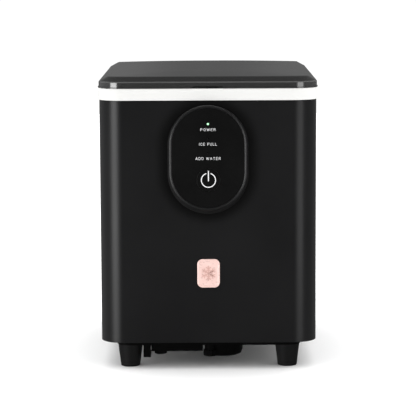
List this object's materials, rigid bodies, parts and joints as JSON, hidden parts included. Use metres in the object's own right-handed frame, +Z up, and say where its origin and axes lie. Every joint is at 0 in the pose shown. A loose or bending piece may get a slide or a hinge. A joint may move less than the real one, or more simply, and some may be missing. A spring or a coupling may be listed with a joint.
{
  "type": "countertop ice maker",
  "caption": "Compact countertop ice maker: black housing on tapered feet, pale top band, smoked hinged lid, oval control pod, lift-out basket over a tank, tilting trough under freezing fingers.",
  "frame": {"origin": "on the floor under the middle of the bounding box", "axes": "+X to the right seen from the front, +Y to the back, +Z up"},
  "size_m": [0.2248, 0.292, 0.3025],
  "materials": {
    "black_shell": "satin black enamel",
    "black_enamel": "black enamel on the pressed compressor shell",
    "black_plastic": "fine matte texture",
    "white_band": "gloss",
    "smoked_lid": "gloss, smoked grey",
    "pod_trim": "satin black",
    "pod_face": "printed film, fine gloss",
    "lens_lit": "lit lens",
    "lens_dark": "unlit lens",
    "rose_gold": "polished rose gold plating",
    "white_liner": "smooth moulded",
    "foam": "rigid foam",
    "clear_plastic": "frosted moulded",
    "rubber": "matte",
    "silicone": "milky",
    "zinc_steel": "zinc plated",
    "nickel": "nickel plated",
    "aluminium": "plain fins",
    "copper": "drawn copper",
    "circuit_board": "solder mask",
    "yellow_tape": "wound with tape"
  },
  "bodies": {
    "housing": {"base_pan": "black_plastic", "front_shell": "black_shell", "rear_cover": "black_plastic", "top_frame": "white_band", "base_crossbar": "zinc_steel", "crossbar_screw": "zinc_steel", "cord_clip": "black_plastic", "foot_front_left": "rubber", "foot_front_right": "rubber", "foot_rear_left": "rubber", "foot_rear_right": "rubber", "hinge_pin_left": "zinc_steel", "hinge_pin_right": "zinc_steel", "control_bezel": "pod_trim", "control_overlay": "pod_face", "display_board": "circuit_board", "lens_power": "lens_lit", "lens_ice_full": "lens_dark", "lens_add_water": "lens_dark", "front_badge": "rose_gold", "ice_well_liner": "white_liner", "tank_sump": "black_plastic", "tank_insulation": "foam", "float_stem": "white_liner", "water_pump": "black_plastic", "pump_hose": "silicone", "ice_sensor_left": "black_plastic", "ice_sensor_right": "black_plastic", "evaporator": "nickel", "evaporator_cover": "white_liner", "ice_chute": "white_liner", "trough_motor": "black_plastic", "trough_bearing": "black_plastic", "compressor": "black_enamel", "compressor_terminal_cover": "black_plastic", "compressor_grommet_1": "rubber", "compressor_grommet_2": "rubber", "compressor_grommet_3": "rubber", "compressor_grommet_4": "rubber", "condenser": "aluminium", "fan_shroud": "black_plastic", "fan_motor": "black_plastic", "suction_tube": "copper", "discharge_tube": "copper", "evaporator_inlet_tube": "copper", "hot_gas_valve": "zinc_steel", "filter_drier": "copper", "main_board": "circuit_board", "board_transformer": "yellow_tape", "power_inlet": "black_plastic"},
    "lid": {"lid": "smoked_lid"},
    "power_button": {"power_button": "pod_face"},
    "ice_basket": {"ice_basket": "clear_plastic"},
    "water_float": {"water_float": "white_liner"},
    "drain_bung": {"drain_bung": "rubber"},
    "trough": {"water_trough": "clear_plastic", "ice_shovel": "clear_plastic", "trough_drive_shaft": "zinc_steel", "trough_idler_pin": "zinc_steel"},
    "fan": {"fan_rotor": "black_plastic"}
  },
  "joints": [
    {"name": "lid_hinge", "type": "hinge", "parent": "housing", "child": "lid", "pos_m": [0, 0.134, 0.296], "axis": [-1, 0, 0], "range_deg": [0, 95]},
    {"name": "basket_lift", "type": "slide", "parent": "housing", "child": "ice_basket", "axis": [0, 0, 1], "range_m": [0, 0.1]},
    {"name": "trough_tilt", "type": "hinge", "parent": "housing", "child": "trough", "pos_m": [0, 0.045, 0.236], "axis": [1, 0, 0], "range_deg": [0, 92]},
    {"name": "power_button_press", "type": "slide", "parent": "housing", "child": "power_button", "axis": [0, 1, 0], "range_m": [0, 0.0012], "stiffness_N_per_m": 800},
    {"name": "float_rise", "type": "slide", "parent": "housing", "child": "water_float", "axis": [0, 0, 1], "range_m": [0, 0.024]},
    {"name": "drain_bung_pull", "type": "slide", "parent": "housing", "child": "drain_bung", "axis": [0, 0, -1], "range_m": [0, 0.006]},
    {"name": "fan_spin", "type": "hinge", "parent": "housing", "child": "fan", "pos_m": [0.061, 0.127, 0.09], "axis": [0, 1, 0], "continuous": true}
  ]
}
